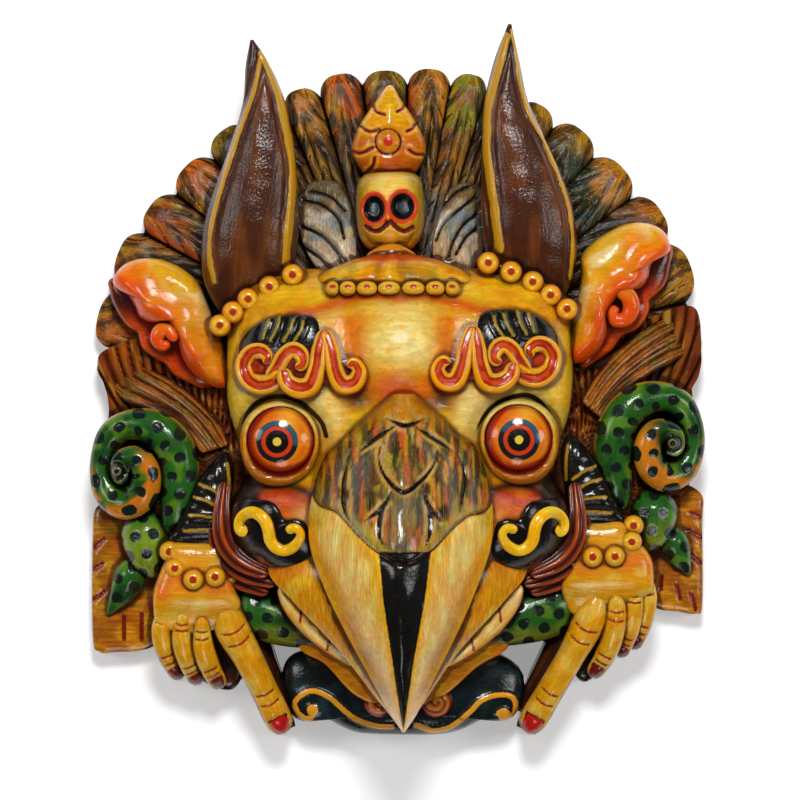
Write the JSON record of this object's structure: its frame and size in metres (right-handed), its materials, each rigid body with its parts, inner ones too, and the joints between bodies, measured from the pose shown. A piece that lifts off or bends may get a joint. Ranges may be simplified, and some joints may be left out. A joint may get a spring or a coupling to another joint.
{
  "type": "garuda mask",
  "caption": "Carved and painted wooden mask of a beaked face with horns, ears and snakes before a fan of feathers, hollowed at the back so that it hangs flat on a wall or lies flat.",
  "frame": {"origin": "Centre of the mask's outline in plan, in the flat plane of its back.", "axes": "+Y to the tips of the horns, +X to the viewer's right, +Z out of the face; the mask lies face up on its back."},
  "size_m": [0.3081, 0.3563, 0.124],
  "materials": {
    "painted_wood": "gloss"
  },
  "bodies": {
    "root": {"mask": "painted_wood"}
  },
  "joints": []
}
